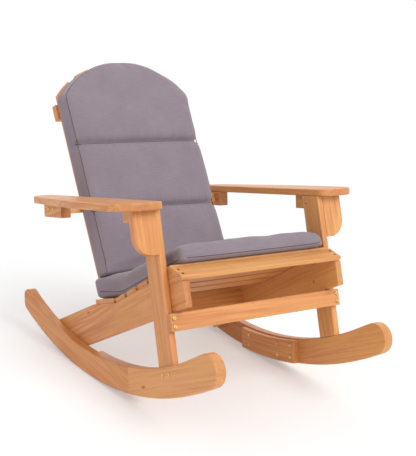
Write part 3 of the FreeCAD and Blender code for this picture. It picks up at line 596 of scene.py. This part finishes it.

# %% [markdown]
# ## Edge seams
# The panels are joined by a narrow seam along their edges, which shows as a thin dark line of shade. Each
# seam, and each channel, is a round cord carried along a path dropped onto the pad's own surface; the cord's
# dark colour is painted shade.


# %% A cord along a path on the pad
def on_surface(piece, path, sink):
    """Moves each path point to the nearest point of the piece, then inwards by sink."""
    mesh = piece.data
    tree = BVHTree.FromPolygons([v.co for v in mesh.vertices], [p.vertices for p in mesh.polygons])
    found = [tree.find_nearest(Vector(p)) for p in path]
    return np.array([tuple(spot - normal * sink) for spot, normal, _, _ in found])


def along_path(points, step):
    """Even samples along a polyline, by its running length."""
    p = np.asarray(points, float)
    run = np.concatenate([[0], np.cumsum(np.linalg.norm(np.diff(p, axis=0), axis=1))])
    at = np.linspace(0, run[-1], int(run[-1] / step) + 1)
    return np.stack([np.interp(at, run, p[:, k]) for k in range(3)], axis=1)


def eased(path, passes=3):
    """Each inner point becomes the mean of itself and its neighbours."""
    for _ in range(passes):
        path[1:-1] = (path[:-2] + path[1:-1] + path[2:]) / 3
    return path


def cord_mesh(path, radius, sides=8):
    """A tube: at each point a circle in the plane of two normals, n = up minus its part along
    the tangent, and b = tangent x n. Its ends are closed by a fan."""
    tangent = np.gradient(path, axis=0)
    tangent /= np.linalg.norm(tangent, axis=1)[:, None]
    up = np.array([0.31, 0.62, 0.72])
    n = up - (tangent @ up)[:, None] * tangent
    n /= np.linalg.norm(n, axis=1)[:, None]
    b = np.cross(tangent, n)
    a = np.linspace(0, 2 * math.pi, sides, endpoint=False)
    ring = n[:, None] * np.cos(a)[None, :, None] + b[:, None] * np.sin(a)[None, :, None]
    skin = (path[:, None] + radius * ring).reshape(-1, 3)
    rows = len(path)
    i, j = np.meshgrid(np.arange(rows - 1), np.arange(sides), indexing="ij")
    k = (j + 1) % sides
    quads = np.stack([i * sides + j, i * sides + k, (i + 1) * sides + k, (i + 1) * sides + j], -1)
    first = list(range(sides))[::-1]
    last = [(rows - 1) * sides + v for v in range(sides)]
    return skin, quads.reshape(-1, 4).tolist() + [first, last]


def cords(name, paths, radius):
    """Several cords in one mesh."""
    points, faces = [], []
    for path in paths:
        skin, quads = cord_mesh(path, radius)
        base = sum(len(p) for p in points)
        faces += [[v + base for v in face] for face in quads]
        points.append(skin)
    mesh = bpy.data.meshes.new(name)
    mesh.from_pydata(np.concatenate(points).tolist(), [], faces)
    piece = bpy.data.objects.new(name, mesh)
    bpy.context.scene.collection.objects.link(piece)
    return piece


# %% Where the seams run
EDGE = 0.005


def back_edge(u):
    """Up one side, over the arch and down the other, at depth u."""
    x = np.linspace(-BACK_HALF + EDGE, BACK_HALF - EDGE, 160)
    over = np.stack([x, np.full_like(x, u), arch_top(x) - EDGE], axis=1)
    left = [[-BACK_HALF + EDGE, u, BACK_LOW + 0.004]]
    right = [[BACK_HALF - EDGE, u, BACK_LOW + 0.004]]
    return along_path(np.concatenate([left, over, right]), 0.004)


def channel_line(seam):
    x = np.linspace(-BACK_HALF + 0.004, BACK_HALF - 0.004, 120)
    return np.stack([x, np.full_like(x, -0.030), np.full_like(x, seam)], axis=1)


back_paths = [eased(on_surface(back_pad, back_edge(-BACK_DEPTH), 0.0006)),
              eased(on_surface(back_pad, back_edge(-CLEAR - 0.002), 0.0006))]
channel_paths = [eased(on_surface(back_pad, channel_line(s), 0.0003)) for s in SEAMS]
seat_line = [[-SEAT_HALF, 0.19, 0.238], [-SEAT_HALF, 0.08, 0.251], [-SEAT_HALF + 0.002, -0.17, 0.351],
             [-SEAT_HALF + 0.018, -0.197, 0.360], [SEAT_HALF - 0.018, -0.197, 0.360],
             [SEAT_HALF - 0.002, -0.17, 0.351], [SEAT_HALF, 0.08, 0.251], [SEAT_HALF, 0.19, 0.238]]
seat_paths = [eased(on_surface(seat_pad, along_path(seat_line, 0.004), 0.0004), 6)]
# These cords get a dark cloth below, as painted shade along the edge seams and in the channel valleys.
back_seams = cords("back_pad_seams", back_paths + channel_paths, 0.0012)
seat_seams = cords("seat_pad_seams", seat_paths, 0.0012)
print("seams", len(back_seams.data.polygons) + len(seat_seams.data.polygons), "faces")

# %% [markdown]
# ## Weave coordinates
# Fabric has threads that follow each panel, so every pad gets a UV map in metres. A face
# takes the two axes that it faces least, which is how the panels were cut, and the map is
# made while the pads are still straight, so that the threads lean with them.


# %% UV map in metres
def cloth_map(piece):
    """uv of a face's corners = (x, s) on faces that look forward or back, (u, s) on the
    sides and (x, u) on the top and bottom."""
    mesh = piece.data
    normals = np.empty(len(mesh.polygons) * 3)
    mesh.polygons.foreach_get("normal", normals)
    facing = np.abs(normals.reshape(-1, 3)).argmax(1)
    totals = np.empty(len(mesh.polygons), int)
    mesh.polygons.foreach_get("loop_total", totals)
    facing = np.repeat(facing, totals)
    index = np.empty(len(mesh.loops), int)
    mesh.loops.foreach_get("vertex_index", index)
    p = corners_of(mesh)[index]
    pair = np.array([[1, 2], [0, 2], [0, 1]])[facing]
    uv = np.take_along_axis(p, pair, axis=1)
    layer = mesh.uv_layers.new(name="cloth")
    layer.data.foreach_set("uv", uv.ravel())


for piece in (back_pad, seat_pad, back_seams, seat_seams):
    cloth_map(piece)
print("cloth maps on 4 pieces")

# %% Lean the back, then roll everything to the stored pose
RECLINE = math.radians(21.3)
BACK_FOOT = (0.2290, 0.2714)


def reclined(p):
    """(x, u, s) to level chair coordinates: s leans back by the recline, u is square to it."""
    y = BACK_FOOT[0] + p[:, 2] * math.sin(RECLINE) + p[:, 1] * math.cos(RECLINE)
    z = BACK_FOOT[1] + p[:, 2] * math.cos(RECLINE) - p[:, 1] * math.sin(RECLINE)
    return np.stack([p[:, 0], y, z], axis=1)


for piece in (back_pad, back_seams):
    set_corners(piece.data, reclined(corners_of(piece.data)))
for piece in (back_pad, seat_pad, back_seams, seat_seams):
    set_corners(piece.data, stored(corners_of(piece.data)))
    piece.data.polygons.foreach_set("use_smooth", np.ones(len(piece.data.polygons), bool))
    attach(piece, "cushion")
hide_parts("cushion_back")
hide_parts("cushion_seat")
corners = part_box("cushion_seat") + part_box("cushion_back")
print("cushion solids' corners", [tuple(round(v, 3) for v in c) for c in corners])

# %% [markdown]
# ## Woven polyester
# The cover is a tight plain weave in a warm grey with a hint of mauve. Two crossed waves
# give threads a millimetre apart, a fine noise gives the mixed yarn, and a wide one the
# slightly uneven dye. Sheen lifts the edges as brushed fibres do.

# %% The weave group and the two fabrics
weave, w_in, w_out = new_group(
    "plain_weave",
    [("Vector", "Vector", None), ("Color", "Yarn", None), ("Color", "Shade", None)],
    [("Color", "Color"), ("Float", "Roughness"), ("Float", "Height")])
warp = put(weave, "ShaderNodeTexWave", {"Vector": w_in.outputs["Vector"], "Scale": 260.0,
                                        "Distortion": 0.6, "Detail": 1.0}, bands_direction="X")
weft = put(weave, "ShaderNodeTexWave", {"Vector": w_in.outputs["Vector"], "Scale": 260.0,
                                        "Distortion": 0.6, "Detail": 1.0}, bands_direction="Y")
threads = calc(weave, "MULTIPLY", warp.outputs["Fac"], weft.outputs["Fac"])
yarn = put(weave, "ShaderNodeTexNoise", {"Vector": w_in.outputs["Vector"], "Scale": 900.0, "Detail": 2.0})
slub = put(weave, "ShaderNodeTexNoise", {"Vector": put(
    weave, "ShaderNodeVectorMath", {0: w_in.outputs["Vector"], 1: (30.0, 700.0, 1.0)},
    operation="MULTIPLY").outputs[0], "Scale": 1.0, "Detail": 2.0})
dye = put(weave, "ShaderNodeTexNoise", {"Vector": w_in.outputs["Vector"], "Scale": 9.0, "Detail": 3.0})
yarn_part = calc(weave, "MULTIPLY", yarn.outputs[0], 0.4)
mixed = calc(weave, "ADD", yarn_part, calc(weave, "MULTIPLY", slub.outputs[0], 0.35))
mixed = calc(weave, "ADD", mixed, calc(weave, "MULTIPLY", dye.outputs[0], 0.3))
mixed = calc(weave, "SUBTRACT", mixed, calc(weave, "MULTIPLY", threads, 0.12))
cloth_colour = blend_colour(weave, fit(weave, mixed, 0.3, 0.68), w_in.outputs["Yarn"], w_in.outputs["Shade"])
weave.links.new(cloth_colour, w_out.inputs["Color"])
weave.links.new(calc(weave, "MULTIPLY_ADD", threads, -0.1, 0.92), w_out.inputs["Roughness"])
weave.links.new(calc(weave, "ADD", threads, yarn_part), w_out.inputs["Height"])


def fabric(name, yarn_colour, shade):
    material, tree, shader = new_material(name, Sheen_Weight=0.25, Sheen_Roughness=0.5)
    sewn = put(tree, "ShaderNodeUVMap", uv_map="cloth").outputs[0]
    cloth = put(tree, "ShaderNodeGroup", node_tree=weave)
    tree.links.new(sewn, cloth.inputs["Vector"])
    cloth.inputs["Yarn"].default_value = yarn_colour
    cloth.inputs["Shade"].default_value = shade
    tree.links.new(cloth.outputs["Color"], shader.inputs["Base Color"])
    tree.links.new(cloth.outputs["Roughness"], shader.inputs["Roughness"])
    bump = put(tree, "ShaderNodeBump", {"Height": cloth.outputs["Height"], "Strength": 0.35,
                                        "Distance": 0.0003})
    tree.links.new(bump.outputs[0], shader.inputs["Normal"])
    return material


cover = fabric("grey_mauve_weave", srgb(139, 126, 134), srgb(119, 107, 116))
# The seam cloth is far darker than the cover: painted shade that stands for the shade in the seams and
# channels.
seam_painted_shade_cloth = fabric("seam_painted_shade", srgb(76, 64, 72), srgb(58, 48, 56))
for piece in (back_pad, seat_pad):
    piece.data.materials.append(cover)
for piece in (back_seams, seat_seams):
    piece.data.materials.append(seam_painted_shade_cloth)
print("fabric on the pads and their seams")

# %% [markdown]
# ## Camera
# The chair was seen from its front left, a little from above, while it stood more upright.
# The camera keeps its place relative to the chair, so it rolls back together with it.

# %% Camera
CAMERA_PLACE = (-1.7603, -2.3156, 0.7659)
CAMERA_YAW = math.radians(37.4)
CAMERA_PITCH = math.radians(7.14)
SEEN_TILT = math.radians(2.61)
FOCAL_PIXELS = 1081.46
FRAME_HEIGHT = 456
SENSOR = 36.0

roll_back = REST_TILT - SEEN_TILT
ahead = Vector((math.sin(CAMERA_YAW) * math.cos(CAMERA_PITCH), math.cos(CAMERA_YAW) * math.cos(CAMERA_PITCH),
                -math.sin(CAMERA_PITCH)))
right = Vector((math.cos(CAMERA_YAW), -math.sin(CAMERA_YAW), 0))
turn = Matrix.Rotation(-roll_back, 3, "X")
axes = Matrix([turn @ right, turn @ right.cross(ahead), turn @ -ahead]).transposed()
camera = bpy.data.objects.new("camera", bpy.data.cameras.new("camera"))
camera.data.sensor_width = SENSOR
camera.data.lens = FOCAL_PIXELS / FRAME_HEIGHT * SENSOR
camera.location = Vector(rolled([CAMERA_PLACE], roll_back, REST_SHIFT)[0])
camera.rotation_mode = "QUATERNION"
camera.rotation_quaternion = axes.to_quaternion()
bpy.context.scene.collection.objects.link(camera)
bpy.context.scene.camera = camera
print("lens", round(camera.data.lens, 2), "mm at", tuple(round(v, 3) for v in camera.location))

# %% [markdown]
# ## Floor and light
# A pale floor takes a soft shadow and fades to white further out, as paper in a studio does.
# Three broad suns and an even sky light the chair: the strongest from the front, a softer one
# from the left and a weak one from behind.

# %% Floor, sky and lamps
FLOOR_REACH = 12.0
FLOOR_SIDES = 64
floor_mesh = bpy.data.meshes.new("floor")
ring = np.linspace(0, 2 * math.pi, FLOOR_SIDES, endpoint=False)
disc = np.stack([FLOOR_REACH * np.cos(ring), FLOOR_REACH * np.sin(ring), np.zeros(FLOOR_SIDES)], axis=1)
floor_mesh.from_pydata(disc.tolist(), [], [list(range(FLOOR_SIDES))])
floor = bpy.data.objects.new("floor", floor_mesh)
bpy.context.scene.collection.objects.link(floor)
paper, tree, shader = new_material("studio_paper", Roughness=0.9)
place = put(tree, "ShaderNodeTexCoord").outputs["Object"]
fibres = put(tree, "ShaderNodeTexNoise", {"Vector": place, "Scale": 3.0}).outputs[0]
sheet = blend_colour(tree, fibres, srgb(247, 247, 247), srgb(251, 251, 251))
tree.links.new(sheet, shader.inputs["Base Color"])
reach = put(tree, "ShaderNodeVectorMath", {0: place}, operation="LENGTH").outputs["Value"]
path = put(tree, "ShaderNodeLightPath")
seen = calc(tree, "MAXIMUM", path.outputs["Is Camera Ray"],
            calc(tree, "MAXIMUM", path.outputs["Is Glossy Ray"], path.outputs["Is Transmission Ray"]))
far_out = calc(tree, "MULTIPLY", seen, fit(tree, reach, 0.35, 1.1, 0.3, 1.0))
white = put(tree, "ShaderNodeEmission", {"Color": (1, 1, 1, 1), "Strength": 1.0})
both = put(tree, "ShaderNodeMixShader", {0: far_out, 1: shader.outputs[0], 2: white.outputs[0]})
tree.links.new(both.outputs[0], tree.nodes["Material Output"].inputs["Surface"])
floor_mesh.materials.append(paper)

SKY_LEVEL = 0.62
world = bpy.data.worlds.new("studio")
bpy.context.scene.world = world
world.use_nodes = True
tree = world.node_tree
path = put(tree, "ShaderNodeLightPath")
seen = calc(tree, "MAXIMUM", path.outputs["Is Camera Ray"],
            calc(tree, "MAXIMUM", path.outputs["Is Glossy Ray"], path.outputs["Is Transmission Ray"]))
sky = tree.nodes["Background"]
sky.inputs["Color"].default_value = (1, 1, 1, 1)
tree.links.new(calc(tree, "MULTIPLY_ADD", seen, 1.0 - SKY_LEVEL, SKY_LEVEL), sky.inputs["Strength"])


def sun(name, toward, strength, softness):
    """A sun lamp that shines from the direction toward."""
    lamp = bpy.data.lights.new(name, "SUN")
    lamp.energy = strength
    lamp.angle = math.radians(softness)
    holder = bpy.data.objects.new(name, lamp)
    holder.rotation_mode = "QUATERNION"
    holder.rotation_quaternion = Vector(toward).to_track_quat("Z", "Y")
    bpy.context.scene.collection.objects.link(holder)


sun("key", (0.15, -0.75, 0.75), 1.9, 35)
sun("fill", (-0.85, -0.35, 0.45), 0.5, 60)
sun("rim", (0.3, 0.8, 0.6), 0.5, 60)
bpy.context.scene.view_settings.view_transform = "Standard"
print("three suns and a sky at", SKY_LEVEL)
